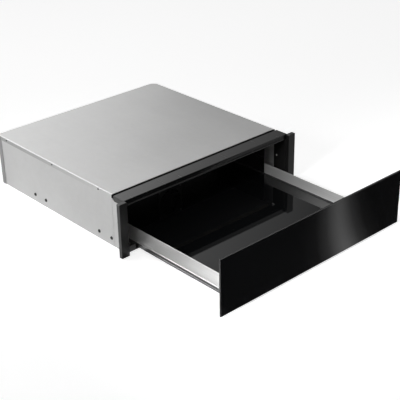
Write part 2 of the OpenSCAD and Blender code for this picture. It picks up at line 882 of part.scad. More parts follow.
module heater_mat() color("orange") drawn_open() {
    low = [-wall_in + mat_inset, panel_back + seal_set + mat_inset, floor_under - mat_t];
    high = [wall_in - mat_inset, drawer_back - seal_set - mat_inset, floor_under];
    block(low, high);
    run = high[0] - low[0] - 2 * track_pitch;
    rows = floor((high[1] - low[1] - track_pitch) / track_pitch);
    for (i = [0 : rows - 1]) {
        y = low[1] + track_pitch / 2 + i * track_pitch;
        block([-run / 2, y, low[2] - track_t], [run / 2, y + track_w, low[2]]);
        if (i < rows - 1) {
            x = (i % 2 == 0) ? run / 2 - track_w : -run / 2;
            block([x, y, low[2] - track_t], [x + track_w, y + track_pitch + track_w, low[2]]);
        }
    }
}

module thermostat() color("brown") drawn_open() {
    place = [thermostat_x, panel_back + thermostat_y, pan_z - thermostat_h];
    translate(place) cylinder(h = thermostat_h, r = thermostat_r);
    translate([place[0], place[1], pan_z - ear_t]) linear_extrude(ear_t) rotate(90) slot(ear_w, ear_l);
    for (s = [-1, 1])
        translate([place[0] + s * (ear_l - ear_w) / 2, place[1], pan_z - ear_t - small_head_t])
            cylinder(h = small_head_t, r = small_head_r);
    for (s = [-1, 1])
        translate([place[0] + s * tab_gap / 2 - tab_t / 2, place[1] - tab_w / 2, place[2] - tab_out])
            cube([tab_t, tab_w, tab_l]);
}

module flat_ring(w, l, hole_w, hole_l, r, z, t) {
    translate([0, floor_mid_y, z]) linear_extrude(t) difference() {
        rounded(w, l, r);
        rounded(hole_w, hole_l, r);
    }
}

module glass_floor() color("black") drawn_open()
    translate([0, floor_mid_y, floor_under]) linear_extrude(floor_t)
        rounded(2 * (wall_in - seal_w - seal_fit), floor_len - 2 * (seal_w + seal_fit), seal_corner_r);

module floor_seal() color("black") drawn_open() {
    ledge = seal_w + seal_ledge;
    flat_ring(2 * wall_in, floor_len, 2 * (wall_in - ledge), floor_len - 2 * ledge,
        seal_corner_r, pan_top, heater_gap);
    flat_ring(2 * wall_in, floor_len, 2 * (wall_in - seal_w), floor_len - 2 * seal_w,
        seal_corner_r, floor_under, floor_t + seal_proud);
}

// Front panel

module front_glass() color("black") drawn_open() {
    back = panel_back - backing_t;
    low = back - front_glass_t;
    half = panel_w / 2;
    panel_top = panel_z + panel_h;
    intersection() {
        translate([-half, 0, 0]) extrude_x(panel_w) polygon([
            [back, panel_z], [low + glass_bevel, panel_z], [low, panel_z + glass_bevel],
            [low, panel_top - glass_bevel], [low + glass_bevel, panel_top], [back, panel_top]
        ]);
        translate([0, 0, panel_z]) linear_extrude(panel_h) polygon([
            [-half, back], [-half, low + glass_bevel], [-half + glass_bevel, low],
            [half - glass_bevel, low], [half, low + glass_bevel], [half, back]
        ]);
    }
}

module front_carrier() color("black") drawn_open()
    block([-panel_w / 2 + backing_inset, panel_back - backing_t, panel_z + backing_inset],
        [panel_w / 2 - backing_inset, panel_back, panel_z + panel_h - backing_inset]);

module front_liner() color("black") drawn_open() {
    liner_half = wall_in - liner_gap;
    low_z = floor_top + seal_proud + liner_rise;
    high_z = bar_bottom - liner_top_gap;
    mid_z = (low_z + high_z) / 2;
    difference() {
        round_plate(0, panel_back, mid_z, 2 * liner_half, high_z - low_z, liner_d, liner_corner_r);
        round_plate(0, panel_back - cut, mid_z, 2 * (liner_half - liner_t), high_z - low_z - 2 * liner_t,
            liner_d - liner_t + cut, liner_corner_r - liner_t);
    }
}

// Hollow rubber strip above the liner, which meets the top bar
module panel_gasket() color("black") drawn_open() {
    len = 2 * (side_in - gasket_inset);
    round_at = [panel_back + gasket_d - gasket_h / 2, bar_bottom + gasket_t + gasket_h / 2];
    translate([-len / 2, 0, 0]) extrude_x(len) difference() {
        union() {
            translate([panel_back, bar_bottom + gasket_t]) square([gasket_d - gasket_h / 2, gasket_h]);
            translate(round_at) circle(r = gasket_h / 2);
        }
        translate(round_at) circle(r = gasket_h / 2 - gasket_t);
    }
}

module front_bracket(side) drawn_open() on_side(side) difference() {
    union() {
        block([half_drawer, panel_back, bracket_low],
            [half_drawer + bracket_t, panel_back + front_bracket_d, bracket_high]);
        block([half_drawer, panel_back, bracket_low],
            [half_drawer + bracket_w, panel_back + bracket_t, bracket_high]);
    }
    for (z = bracket_screw_z)
        rod_y([bracket_screw_x, panel_back - cut, z], screw_hole_r, bracket_t + 2 * cut);
}

module left_front_bracket() color("gray") front_bracket(-1);

module right_front_bracket() color("gray") front_bracket(1);

// Fan on the back wall

module fan_frame() color("black") drawn_open() {
    translate([0, fan_y + fan_d - hub_base_t, fan_z]) rotate([90, 0, 0])
        linear_extrude(fan_d - hub_base_t) fan_outline();
    translate([0, fan_y + fan_d, fan_z]) rotate([90, 0, 0]) linear_extrude(hub_base_t) {
        fan_outline();
        circle(r = hub_r);
        for (a = [45 : 90 : 315]) rotate(a)
            translate([hub_r - fan_wall, -strut_w / 2]) square([fan_bore_r - hub_r + 2 * fan_wall, strut_w]);
    }
    rod_y([0, fan_y + hub_clear + fan_wall, fan_z], shaft_r, fan_d - hub_clear - fan_wall - hub_base_t / 2);
}

// Square of the fan with its bore and corner holes, in X and Z
module fan_outline() difference() {
    rounded(fan_w, fan_w, fan_corner_r);
    circle(r = fan_bore_r);
    for (sx = [-1, 1], sy = [-1, 1])
        translate([sx * fan_hole_at, sy * fan_hole_at]) circle(r = screw_hole_r);
}

module fan_rotor() color("gray") drawn_open() translate([0, fan_y + hub_clear, fan_z]) {
    depth = fan_d - hub_clear - hub_base_t - hub_base_gap;
    difference() {
        rod_y([0, 0, 0], hub_r, depth);
        rod_y([0, fan_wall / 2, 0], shaft_r + shaft_clear, depth);
    }
    intersection() {
        difference() {
            rod_y([0, 0, 0], fan_bore_r - blade_tip_gap, depth);
            rod_y([0, -cut, 0], hub_r - fan_wall / 2, depth + 2 * cut);
        }
        for (i = [0 : blade_count - 1]) rotate([0, i * 360 / blade_count, 0]) blade(depth);
    }
}

// Curved blade that points along +X, as deep as the rotor
module blade(depth) {
    mid = [0, depth / 2 + blade_r * sin(blade_angle), -blade_r * cos(blade_angle)];
    intersection() {
        difference() {
            rod_x(mid, blade_r + blade_t / 2, fan_bore_r);
            rod_x(mid - [cut, 0, 0], blade_r - blade_t / 2, fan_bore_r + 2 * cut);
        }
        block([0, 0, -blade_half], [fan_bore_r, depth, blade_half]);
    }
}

module fan_grille() color("dimgray") drawn_open() {
    y = drawer_back - wall_t - grille_t;
    step = (fan_bore_r - hub_clear) / grille_rings;
    difference() {
        round_plate(0, y, fan_z, fan_w, fan_w, grille_t, fan_corner_r);
        for (i = [1 : grille_rings]) difference() {
            rod_y([0, y - cut, fan_z], i * step, grille_t + 2 * cut);
            rod_y([0, y - 2 * cut, fan_z], (i - 1) * step + grille_bar, grille_t + 4 * cut);
        }
        fan_holes(y, grille_t);
    }
    for (a = [0 : 360 / grille_spokes : 359]) translate([0, y, fan_z]) rotate([0, a, 0])
        block([0, 0, -grille_bar / 2], [fan_bore_r, grille_t, grille_bar / 2]);
}

module latch_striker() color("silver") drawn_open()
    round_plate(latch_x, drawer_back, latch_z, striker_w, striker_h, striker_t, box_corner_r);

module drawer_screws() color("silver") drawn_open() {
    for (sx = [-1, 1], sz = [-1, 1]) {
        place = [sx * fan_hole_at, drawer_back - wall_t - grille_t, fan_z + sz * fan_hole_at];
        rod_y(place, screw_r, wall_t + grille_t + fan_d);
        rod_y(place - [0, small_head_t, 0], small_head_r, small_head_t);
    }
    for (side = [-1, 1], z = bracket_screw_z) on_side(side) {
        rod_y([bracket_screw_x, panel_back, z], screw_r, bracket_t);
        rod_y([bracket_screw_x, panel_back + bracket_t, z], small_head_r, small_head_t);
    }
}

top_cover();
left_side_panel();
right_side_panel();
rear_panel();
base_plate();
frame_top_bar();
left_post();
right_post();
bottom_crossbar();
cavity_ceiling();
insulation();
left_rail_bracket();
right_rail_bracket();
left_case_rail();
right_case_rail();
cover_screws();
rail_screws();
frame_screws();
rear_screws();
terminal_box();
mains_inlet();
control_box();
push_latch();
latch_plunger();
door_switch();
switch_plunger();
left_mid_rail();
right_mid_rail();
left_outer_cage();
right_outer_cage();
left_inner_cage();
right_inner_cage();
drawer_pan();
left_wall();
right_wall();
left_cheek();
right_cheek();
back_wall();
heater_mat();
thermostat();
glass_floor();
floor_seal();
front_glass();
front_carrier();
front_liner();
panel_gasket();
left_front_bracket();
right_front_bracket();
left_drawer_rail();
right_drawer_rail();
fan_frame();
fan_rotor();
fan_grille();
latch_striker();
drawer_screws();
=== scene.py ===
import json
from math import cos, pi, radians, sin

import bpy
import bmesh
from mathutils import Matrix, Vector


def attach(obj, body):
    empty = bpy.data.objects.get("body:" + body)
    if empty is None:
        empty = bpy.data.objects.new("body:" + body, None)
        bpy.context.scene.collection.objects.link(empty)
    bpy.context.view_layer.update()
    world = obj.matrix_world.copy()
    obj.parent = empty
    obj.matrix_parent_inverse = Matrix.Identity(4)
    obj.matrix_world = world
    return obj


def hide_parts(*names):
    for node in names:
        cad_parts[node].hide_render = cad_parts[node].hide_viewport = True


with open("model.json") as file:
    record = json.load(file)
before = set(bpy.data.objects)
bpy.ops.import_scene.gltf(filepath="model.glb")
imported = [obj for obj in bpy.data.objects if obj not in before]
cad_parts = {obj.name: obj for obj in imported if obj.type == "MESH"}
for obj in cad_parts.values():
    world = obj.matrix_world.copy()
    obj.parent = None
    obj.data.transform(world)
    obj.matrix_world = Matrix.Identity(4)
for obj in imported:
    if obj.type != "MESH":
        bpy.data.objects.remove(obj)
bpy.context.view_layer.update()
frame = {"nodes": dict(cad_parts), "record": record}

nodes = frame["nodes"]


def boxOf(points):
    axes = list(zip(*points))
    return Vector([min(axis) for axis in axes]), Vector([max(axis) for axis in axes])


# lowest and highest corner of each CAD node
boxes = {name: boxOf(vert.co for vert in obj.data.vertices) for name, obj in nodes.items()}
print("frame loaded:", len(nodes), "nodes")


# shader node helpers
def setInputs(node, values):
    for key, value in values.items():
        node.inputs[key].default_value = value
    return node


def addNode(tree, kind, values=None, **attributes):
    node = tree.nodes.new(kind)
    for key, value in attributes.items():
        setattr(node, key, value)
    return setInputs(node, values or {})


def join(tree, node, links):
    for key, source in links.items():
        tree.links.new(source, node.inputs[key])
    return node


# a maths node, whose values are numbers or other nodes' outputs
def calc(tree, operation, *values):
    node = addNode(tree, "ShaderNodeMath", operation=operation)
    for socket, value in zip(node.inputs, values):
        if isinstance(value, bpy.types.NodeSocket):
            tree.links.new(value, socket)
        else:
            socket.default_value = value
    return node.outputs[0]


def emptyMaterial(name):
    mat = bpy.data.materials.new(name)
    mat.use_nodes = True
    mat.node_tree.nodes.clear()
    return mat, mat.node_tree


def newMaterial(name):
    mat, tree = emptyMaterial(name)
    out = addNode(tree, "ShaderNodeOutputMaterial")
    shader = addNode(tree, "ShaderNodeBsdfPrincipled")
    tree.links.new(shader.outputs["BSDF"], out.inputs["Surface"])
    return mat, tree, shader


def objectCoords(tree, scale=(1, 1, 1), turn=(0, 0, 0)):
    coords = addNode(tree, "ShaderNodeTexCoord")
    mapping = addNode(tree, "ShaderNodeMapping", {"Scale": scale, "Rotation": turn})
    tree.links.new(coords.outputs["Object"], mapping.inputs["Vector"])
    return mapping.outputs["Vector"]


# octaves of a noise, and the strength of its small ones
noiseDetail = {"soft": 1.0, "fine": 2.0, "middle": 3.0, "rich": 4.0}
noiseRoughness = {"plain": 0.5, "streaky": 0.6}


def noiseAt(tree, vector, scale=1.0, detail=noiseDetail["middle"], roughness=noiseRoughness["plain"]):
    noise = addNode(tree, "ShaderNodeTexNoise", {"Scale": scale, "Detail": detail, "Roughness": roughness})
    tree.links.new(vector, noise.inputs["Vector"])
    return noise.outputs["Fac"]


# lines drawn out along the axis with the smallest scale
def linesAt(tree, scale):
    return noiseAt(tree, objectCoords(tree, scale), roughness=noiseRoughness["streaky"])


noiseSpan = (0.3, 0.7)  # where most of a noise lies


def ramp(tree, factor, first, last, span=noiseSpan):
    node = addNode(tree, "ShaderNodeValToRGB")
    for element, position, color in zip(node.color_ramp.elements, span, (first, last)):
        element.position = position
        element.color = (*color, 1.0)
    tree.links.new(factor, node.inputs["Fac"])
    return node.outputs["Color"]


def remap(tree, factor, low, high, fromLow=noiseSpan[0], fromHigh=noiseSpan[1]):
    node = addNode(tree, "ShaderNodeMapRange",
                   {"From Min": fromLow, "From Max": fromHigh, "To Min": low, "To Max": high})
    tree.links.new(factor, node.inputs["Value"])
    return node.outputs["Result"]


def mixColor(tree, factor, first, second):
    node = addNode(tree, "ShaderNodeMix", data_type="RGBA")
    tree.links.new(factor, node.inputs[0])
    for key, value in ((6, first), (7, second)):
        if isinstance(value, bpy.types.NodeSocket):
            tree.links.new(value, node.inputs[key])
        else:
            node.inputs[key].default_value = (*value, 1.0)
    return node.outputs[2]


def bumpFrom(tree, shader, height, strength, distance, before=None):
    bump = addNode(tree, "ShaderNodeBump", {"Strength": strength, "Distance": distance})
    tree.links.new(height, bump.inputs["Height"])
    if before:
        tree.links.new(before, bump.inputs["Normal"])
    tree.links.new(bump.outputs["Normal"], shader.inputs["Normal"])
    return bump.outputs["Normal"]


def shade(value, tint=(1, 1, 1)):
    return tuple(value * t for t in tint)


# rubbed places: the bevel faces carry the attribute edgeWear, broken up by noise
wearSetup = {"scale": 260.0, "detail": 4.0, "roughness": 0.65, "span": (0.38, 0.62)}


def wornEdge(tree, coords, amount, scale=wearSetup["scale"]):
    edge = addNode(tree, "ShaderNodeAttribute", attribute_name="edgeWear")
    patches = noiseAt(tree, coords, scale, wearSetup["detail"], wearSetup["roughness"])
    return calc(tree, "MULTIPLY", edge.outputs["Fac"], remap(tree, patches, 0.0, amount, *wearSetup["span"]))


# a few hairline scratches: noise drawn out along a turned axis
scratchSetup = {"scale": (260.0, 7.0, 260.0), "detail": 1.0, "roughness": 0.4, "span": (0.70, 0.74)}


def scratches(tree, turn, amount):
    coords = objectCoords(tree, scratchSetup["scale"], turn)
    lines = noiseAt(tree, coords, 1.0, scratchSetup["detail"], scratchSetup["roughness"])
    return remap(tree, lines, 0.0, amount, *scratchSetup["span"])


# the cover's hem that laps the side panels gets painted shade, darker towards the back; the rear panel's hems
# that lap them are darker all over
coverShadeBand = {"node": "top_cover", "strength": 0.36, "skin": 0.0004, "below": 0.0022, "front": -0.16,
             "back": 0.20}
rearBand = {"node": "rear_panel", "strength": 0.50, "skin": 0.0004, "below": 0.0, "front": 0.10, "back": 0.20}


# mask of a darker hem band: on the cover's hem it is painted shade, on the rear's hems a darker tone
def foldBand(tree, band):
    corner = boxes[band["node"]][1]
    axes = addNode(tree, "ShaderNodeSeparateXYZ")
    tree.links.new(objectCoords(tree), axes.inputs[0])
    outside = calc(tree, "GREATER_THAN", calc(tree, "ABSOLUTE", axes.outputs["X"]), corner.x - band["skin"])
    below = calc(tree, "LESS_THAN", axes.outputs["Z"], corner.z - band["below"])
    along = remap(tree, axes.outputs["Y"], 0.0, band["strength"], band["front"], band["back"])
    return calc(tree, "MULTIPLY", calc(tree, "MULTIPLY", outside, below), along)


# hot dipped sheet: faint spangle, rolling streaks, cloudy sheen, bright rubbed folds
zincLook = {"dark": 0.58, "light": 0.66, "tint": (1.0, 1.0, 0.995), "toneSpan": (0.40, 0.95),
            "metallic": 0.45, "roughness": (0.38, 0.50), "shineSpan": (0.4, 0.9), "spangleScale": 95.0,
            "spangleShare": 0.14, "cloudScale": 5.0, "streaks": (3.0, 60.0, 60.0), "streakShare": 0.22,
            "fineScale": 900.0, "fineStrength": 0.05, "fineDepth": 0.00006, "bumpStrength": 0.05,
            "bumpDepth": 0.0003, "edge": 0.72, "wear": 0.35, "wearShine": 0.12,
            "scratchTurn": (0.0, 0.3, 0.9), "scratchShine": 0.06, "band": None}


def zincMaterial(name="zincSheet", look=zincLook):
    mat, tree, shader = newMaterial(name)
    coords = objectCoords(tree)
    spangle = addNode(tree, "ShaderNodeTexVoronoi", {"Scale": look["spangleScale"], "Randomness": 1.0})
    tree.links.new(coords, spangle.inputs["Vector"])
    cells = calc(tree, "MULTIPLY", spangle.outputs["Color"], look["spangleShare"])
    cloud = calc(tree, "ADD", cells, noiseAt(tree, coords, look["cloudScale"], noiseDetail["rich"]))
    streak = linesAt(tree, look["streaks"])
    tone = calc(tree, "MULTIPLY_ADD", streak, look["streakShare"], cloud)
    darkSheet, lightSheet = shade(look["dark"], look["tint"]), shade(look["light"], look["tint"])
    sheet = ramp(tree, tone, darkSheet, lightSheet, look["toneSpan"])
    if look["band"]:
        # the hem band darkens the sheet: painted shade on the cover's hem, a darker tone on the rear's hems
        sheet = mixColor(tree, foldBand(tree, look["band"]), sheet, shade(0.0))
    worn = wornEdge(tree, coords, look["wear"])
    tree.links.new(mixColor(tree, worn, sheet, shade(look["edge"])), shader.inputs["Base Color"])
    smooth = calc(tree, "SUBTRACT", remap(tree, tone, *look["roughness"], *look["shineSpan"]),
                  calc(tree, "MULTIPLY", worn, look["wearShine"]))
    shine = calc(tree, "SUBTRACT", smooth, scratches(tree, look["scratchTurn"], look["scratchShine"]))
    tree.links.new(shine, shader.inputs["Roughness"])
    setInputs(shader, {"Metallic": look["metallic"]})
    fine = noiseAt(tree, coords, look["fineScale"], noiseDetail["fine"])
    soft = bumpFrom(tree, shader, tone, look["bumpStrength"], look["bumpDepth"])
    bumpFrom(tree, shader, fine, look["fineStrength"], look["fineDepth"], soft)
    return mat


# satin powder coat with a very fine orange peel
coatLook = {"color": 0.010, "uneven": 0.15, "roughness": (0.34, 0.42), "cloudScale": 9.0,
            "grainScale": 1800.0, "bumpStrength": 0.10, "bumpDepth": 0.0001, "edge": 0.055, "wear": 0.55,
            "scratchTurn": (0.2, 0.5, 0.4), "scratchDull": 0.10}


def coatMaterial(name="blackCoat", look=coatLook):
    mat, tree, shader = newMaterial(name)
    coords = objectCoords(tree)
    grain = noiseAt(tree, coords, look["grainScale"], noiseDetail["fine"])
    cloud = noiseAt(tree, coords, look["cloudScale"])
    thin, thick = shade(look["color"] * (1 - look["uneven"])), shade(look["color"] * (1 + look["uneven"]))
    paint = ramp(tree, cloud, thin, thick)
    worn = wornEdge(tree, coords, look["wear"])
    tree.links.new(mixColor(tree, worn, paint, shade(look["edge"])), shader.inputs["Base Color"])
    rough = calc(tree, "ADD", remap(tree, cloud, *look["roughness"]),
                 scratches(tree, look["scratchTurn"], look["scratchDull"]))
    tree.links.new(rough, shader.inputs["Roughness"])
    bumpFrom(tree, shader, grain, look["bumpStrength"], look["bumpDepth"])
    return mat


# brushed steel, drawn along one axis of the object
brushLook = {"dark": 0.62, "light": 0.76, "tint": (1.0, 0.997, 0.99), "roughness": (0.26, 0.36), "along": "Y",
             "fine": 900.0, "long": 5.0, "cloudScale": 7.0, "bumpStrength": 0.35, "bumpDepth": 0.00012,
             "edge": 0.85, "wear": 0.6, "metallic": 1.0, "lineSpan": (0.25, 0.75),
             "scratchTurn": (0.0, 0.0, 0.2), "scratchDull": 0.12}


def brushedMaterial(name, look):
    mat, tree, shader = newMaterial(name)
    scale = tuple(look["long"] if axis == look["along"] else look["fine"] for axis in "XYZ")
    plain = objectCoords(tree)
    lines = linesAt(tree, scale)
    cloud = noiseAt(tree, plain, look["cloudScale"])
    darkSteel, lightSteel = shade(look["dark"], look["tint"]), shade(look["light"], look["tint"])
    steel = ramp(tree, lines, darkSteel, lightSteel, look["lineSpan"])
    worn = wornEdge(tree, plain, look["wear"])
    rubbed = shade(look["edge"], look["tint"])
    tree.links.new(mixColor(tree, worn, steel, rubbed), shader.inputs["Base Color"])
    rough = calc(tree, "ADD", remap(tree, cloud, *look["roughness"]),
                 scratches(tree, look["scratchTurn"], look["scratchDull"]))
    tree.links.new(rough, shader.inputs["Roughness"])
    setInputs(shader, {"Metallic": look["metallic"]})
    bumpFrom(tree, shader, lines, look["bumpStrength"], look["bumpDepth"])
    return mat


# deep black glass: mirror smooth face with faint wiping marks, ground edges
glassLook = {"color": (0.0028, 0.0030, 0.0036), "roughness": (0.012, 0.03), "ior": 1.5, "edge": 0.045,
             "cloudScale": 3.0, "lighter": 1.12, "wipes": (5.0, 22.0, 22.0), "wipeTurn": (0.2, 0.3, 0.5),
             "groundDull": 0.25, "waveScale": 1400.0, "waveStrength": 0.3, "waveDepth": 0.00001}


def glassMaterial(name, look=glassLook):
    mat, tree, shader = newMaterial(name)
    coords = objectCoords(tree)
    cloud = noiseAt(tree, coords, look["cloudScale"], noiseDetail["fine"])
    body = ramp(tree, cloud, look["color"], shade(look["lighter"], look["color"]))
    ground = addNode(tree, "ShaderNodeAttribute", attribute_name="edgeWear").outputs["Fac"]
    tree.links.new(mixColor(tree, ground, body, shade(look["edge"])), shader.inputs["Base Color"])
    wiped = noiseAt(tree, objectCoords(tree, look["wipes"], look["wipeTurn"]), detail=noiseDetail["rich"])
    rough = calc(tree, "MULTIPLY_ADD", ground, look["groundDull"], remap(tree, wiped, *look["roughness"]))
    tree.links.new(rough, shader.inputs["Roughness"])
    setInputs(shader, {"IOR": look["ior"]})
    wave = noiseAt(tree, coords, look["waveScale"], noiseDetail["soft"])
    bumpFrom(tree, shader, wave, look["waveStrength"], look["waveDepth"])
    return mat


# moulded plastic or rubber with a fine texture
mouldLook = {"color": (0.022, 0.022, 0.024), "uneven": 0.12, "roughness": (0.45, 0.6), "cloudScale": 14.0,
             "grainScale": 2400.0, "bumpStrength": 0.15, "bumpDepth": 0.00012, "edge": 1.8, "wear": 0.6,
             "wearScale": 320.0}


def mouldedMaterial(name, look=mouldLook):
    mat, tree, shader = newMaterial(name)
    coords = objectCoords(tree)
    cloud = noiseAt(tree, coords, look["cloudScale"])
    thin, thick = shade(1 - look["uneven"], look["color"]), shade(1 + look["uneven"], look["color"])
    body = ramp(tree, cloud, thin, thick)
    worn = wornEdge(tree, coords, look["wear"], look["wearScale"])
    rubbed = tuple(min(1.0, c * look["edge"]) for c in look["color"])
    tree.links.new(mixColor(tree, worn, body, rubbed), shader.inputs["Base Color"])
    tree.links.new(remap(tree, cloud, *look["roughness"]), shader.inputs["Roughness"])
    grain = noiseAt(tree, coords, look["grainScale"], noiseDetail["fine"])
    bumpFrom(tree, shader, grain, look["bumpStrength"], look["bumpDepth"])
    return mat


zinc = zincMaterial()
# the cover sheet carries the painted shade on its hem, darker towards the back
coverZinc = zincMaterial("coverSheet", {**zincLook, "streaks": (60.0, 3.0, 60.0), "band": coverShadeBand})
rearZinc = zincMaterial("rearSheet", {**zincLook, "band": rearBand})
coat = coatMaterial()
barCoat = coatMaterial("barBlack", {**coatLook, "roughness": (0.15, 0.20), "bumpStrength": 0.06})
coatDeep = coatMaterial("enamelBlack", {**coatLook, "color": 0.016, "roughness": (0.20, 0.28), "edge": 0.03})
wallSteel = brushedMaterial("wallSteel", {**brushLook, "roughness": (0.36, 0.46), "bumpStrength": 0.6,
                                          "metallic": 0.55})
railSteel = brushedMaterial("railSteel", {**brushLook, "dark": 0.20, "light": 0.28, "roughness": (0.34, 0.46),
                                          "bumpStrength": 0.2, "edge": 0.5})
screwSteel = brushedMaterial("screwSteel", {**brushLook, "dark": 0.32, "light": 0.42, "fine": 1500.0,
                                            "long": 300.0, "bumpStrength": 0.15})
# near-black heads for the cover screws: painted shade standing in for the shade in their recesses
screwPaintedShade = brushedMaterial("screwPaintedShade", {**brushLook, "dark": 0.05, "light": 0.09, "fine": 1500.0,
                                            "long": 300.0, "bumpStrength": 0.1, "roughness": (0.4, 0.5)})
screwDark = mouldedMaterial("screwOxide", {**mouldLook, "color": (0.008, 0.008, 0.008), "uneven": 0.2,
                                           "bumpStrength": 0.1, "edge": 3.0})
frontGlass = glassMaterial("frontGlass")
floorGlass = glassMaterial("floorGlass", {**glassLook, "color": (0.005, 0.0054, 0.006),
                                          "roughness": (0.02, 0.045)})
rubber = mouldedMaterial("sealRubber", {**mouldLook, "color": (0.012, 0.012, 0.013),
                                        "roughness": (0.5, 0.65)})
plasticBlack = mouldedMaterial("plasticBlack", {**mouldLook, "roughness": (0.4, 0.55)})
plasticGrey = mouldedMaterial("plasticGrey", {**mouldLook, "color": (0.50, 0.50, 0.49),
                                              "roughness": (0.4, 0.5), "edge": 1.2})
heaterSilicone = mouldedMaterial("heaterSilicone", {**mouldLook, "color": (0.42, 0.11, 0.04),
                                                    "roughness": (0.5, 0.6), "edge": 1.3})
woolMat = mouldedMaterial("woolMat", {**mouldLook, "color": (0.60, 0.55, 0.43), "uneven": 0.3,
                                      "roughness": (0.9, 1.0), "grainScale": 700.0, "bumpStrength": 0.8,
                                      "edge": 1.0})

finishBySlot = {
    "galvanised": zinc, "frame_black": coat, "bright_steel": wallSteel, "pan_black": coatDeep,
    "rail_steel": railSteel, "black_glass": frontGlass, "rubber_black": rubber, "plastic_black": plasticBlack,
    "plastic_grey": plasticGrey, "screw_steel": screwSteel, "screw_dark": screwDark, "mineral_wool": woolMat,
    "heater_rubber": heaterSilicone,
}
finishByNode = {"frame_top_bar": barCoat, "glass_floor": floorGlass, "top_cover": coverZinc,
                "rear_panel": rearZinc, "cover_screws": screwPaintedShade}
record = frame["record"]
slotByNode = {row["node"]: row["material_slot"] for row in record["subparts"]}
bodyByNode = {node: body for body, members in record["behaviour"]["bodies"].items() for node in members}


def finishOf(node):
    return finishByNode.get(node, finishBySlot[slotByNode[node]])


def dressNodes():
    for name, obj in nodes.items():
        obj.data.materials.clear()
        obj.data.materials.append(finishOf(name))


dressNodes()
print("cad nodes dressed")


def addObject(name, data):
    obj = bpy.data.objects.new(name, data)
    bpy.context.scene.collection.objects.link(obj)
    return obj


# a finished piece takes the place of its node
def settle(obj, node):
    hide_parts(node)
    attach(obj, bodyByNode[node])


# what the modifiers make becomes the mesh itself
def toPlainMesh(obj):
    graph = bpy.context.evaluated_depsgraph_get()
    made = bpy.data.meshes.new_from_object(obj.evaluated_get(graph))
    obj.modifiers.clear()
    obj.data = made
    made.name = obj.name
    return obj


# pieces with eased edges: bevel width in metres for each node
easedEdges = {
    "top_cover": 0.0003, "left_side_panel": 0.00025, "right_side_panel": 0.00025, "rear_panel": 0.00025,
    "base_plate": 0.00025, "frame_top_bar": 0.0005, "left_post": 0.0006, "right_post": 0.0006,
    "bottom_crossbar": 0.0005, "front_glass": 0.0006, "glass_floor": 0.0005, "front_carrier": 0.0003,
    "front_liner": 0.0004, "panel_gasket": 0.0005, "left_cheek": 0.0004, "right_cheek": 0.0004,
    "back_wall": 0.0003, "drawer_pan": 0.00025, "terminal_box": 0.0007, "control_box": 0.0007,
    "push_latch": 0.0006, "door_switch": 0.0005, "mains_inlet": 0.0004, "thermostat": 0.0003,
    "fan_frame": 0.0005, "left_rail_bracket": 0.00025, "right_rail_bracket": 0.00025,
    "left_front_bracket": 0.0003, "right_front_bracket": 0.0003, "latch_striker": 0.0003,
}
edgeSetup = {"segments": 2, "angle": 35.0, "flat": 0.6, "sharp": 14.0, "weld": 1e-6}


def easeEdges(node, width, setup=edgeSetup):
    bm = bmesh.new()
    bm.from_mesh(nodes[node].data)
    bmesh.ops.remove_doubles(bm, verts=bm.verts, dist=setup["weld"])
    bmesh.ops.dissolve_limit(bm, angle_limit=radians(setup["flat"]), verts=bm.verts, edges=bm.edges)
    mesh = bpy.data.meshes.new(node + "Eased")
    for face in bm.faces:
        face.smooth = True
    bm.to_mesh(mesh)
    bm.free()
    obj = addObject(node + "Eased", mesh)
    mesh.materials.append(finishOf(node))
    mesh.materials.append(finishOf(node))  # the second slot marks the bevel's faces
    bevel = obj.modifiers.new("ease", "BEVEL")
    bevel.width, bevel.segments, bevel.material = width, setup["segments"], 1
    bevel.limit_method, bevel.angle_limit = "ANGLE", radians(setup["angle"])
    toPlainMesh(obj)
    obj.data.set_sharp_from_angle(angle=radians(setup["sharp"]))
    worn = [float(face.material_index == 1) for face in obj.data.polygons]
    obj.data.attributes.new("edgeWear", "FLOAT", "FACE").data.foreach_set("value", worn)
    for face in obj.data.polygons:
        face.material_index = 0
    obj.data.materials.pop(index=1)
    settle(obj, node)


for node, width in easedEdges.items():
    easeEdges(node, width)
print("edges eased:", len(easedEdges))


# geometry node helpers
def growTree(name, sockets):
    tree = bpy.data.node_groups.new(name, "GeometryNodeTree")
    tree.interface.new_socket(name="Geometry", in_out="INPUT", socket_type="NodeSocketGeometry")
    for label, kind, value in sockets:
        socket = tree.interface.new_socket(name=label, in_out="INPUT", socket_type="NodeSocket" + kind)
        if value is not None:
            socket.default_value = value
    tree.interface.new_socket(name="Geometry", in_out="OUTPUT", socket_type="NodeSocketGeometry")
    return tree, addNode(tree, "NodeGroupInput").outputs


def endTree(tree, geometry, material):
    realized = join(tree, addNode(tree, "GeometryNodeRealizeInstances"), {"Geometry": geometry})
    painted = join(tree, addNode(tree, "GeometryNodeSetMaterial"),
                   {"Geometry": realized.outputs[0], "Material": material})
    join(tree, addNode(tree, "NodeGroupOutput"), {"Geometry": painted.outputs[0]})
    return tree


def growPiece(name, mesh, tree, values):
    obj = addObject(name, mesh)
    modifier = obj.modifiers.new(name, "NODES")
    modifier.node_group = tree
    for item in tree.interface.items_tree:
        if item.in_out == "INPUT" and item.name in values:
            modifier[item.identifier] = values[item.name]
    return toPlainMesh(obj)


# screws: a crossed pan head with its shank on every point, turned at random about its axis
screwLook = {"grid": 25, "seed": 11, "crossWidth": 0.13, "crossReach": 0.56, "soft": 0.07, "domePower": 3.0,
             "recessShare": 0.6, "shank": 0.0019, "shankSides": 16}


